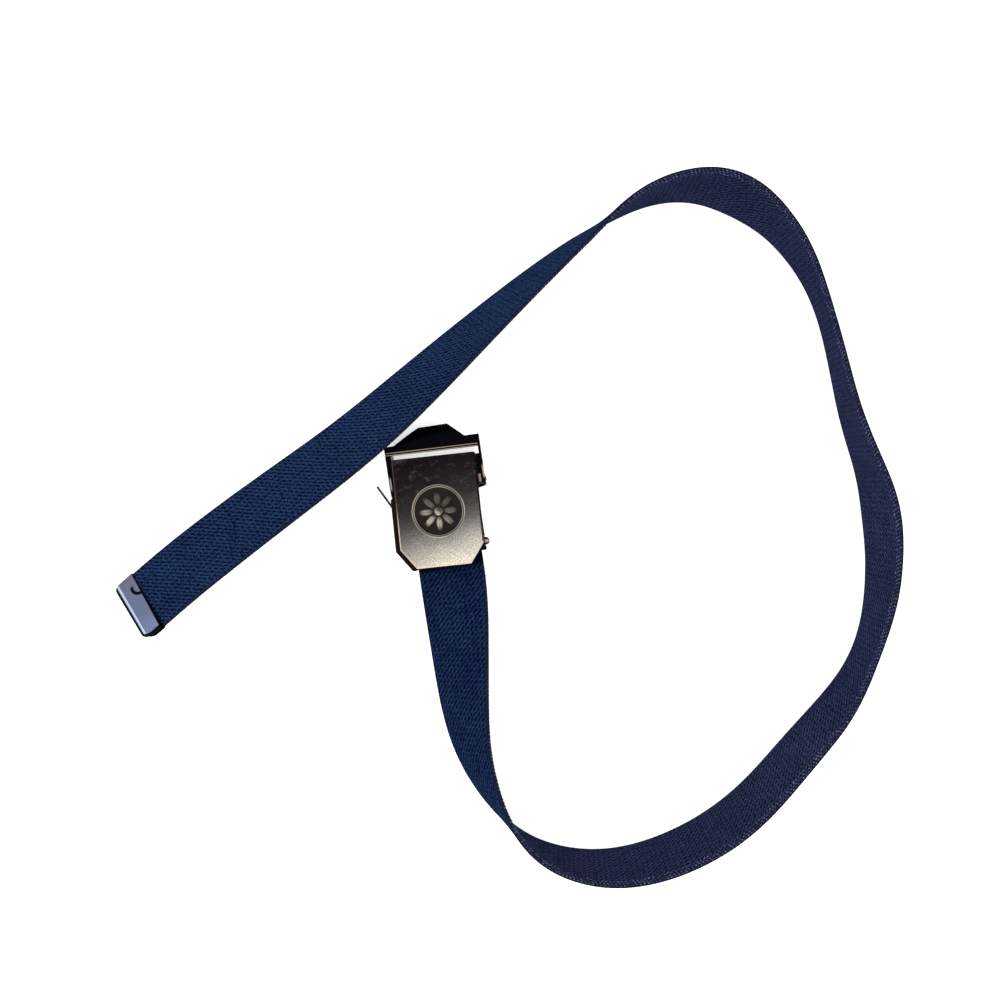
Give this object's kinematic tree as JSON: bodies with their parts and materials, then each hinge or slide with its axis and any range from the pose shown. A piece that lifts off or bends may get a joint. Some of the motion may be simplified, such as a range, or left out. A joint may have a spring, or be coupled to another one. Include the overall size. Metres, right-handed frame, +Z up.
{
  "type": "canvas web belt with a flip-cover buckle",
  "caption": "Navy woven web belt lying open in a loop, with a gunmetal flip-cover buckle and a folded metal clip on its tip.",
  "frame": {"origin": "middle of the belt's bounding box, on the surface it lies on", "axes": "+X to the right across the lying belt, +Y away from the viewer along the buckle, +Z up from the surface"},
  "size_m": [0.3728, 0.3244, 0.0321],
  "materials": {
    "canvas": "woven navy webbing",
    "gunmetal": "brushed antique gunmetal plate",
    "clip_metal": "satin silver"
  },
  "bodies": {
    "belt": {"web_strip": "canvas", "tip_clip": "clip_metal", "buckle_frame": "gunmetal", "clamp_bar": "gunmetal", "side_prong": "gunmetal", "hinge_pin": "gunmetal"},
    "cover": {"cover_plate": "gunmetal"}
  },
  "joints": [
    {"name": "cover_hinge", "type": "hinge", "parent": "belt", "child": "cover", "pos_m": [-0.02496, 0.02019, 0.0056], "axis": [-0.9945, -0.1045, 0], "range_deg": [0, 80]}
  ]
}
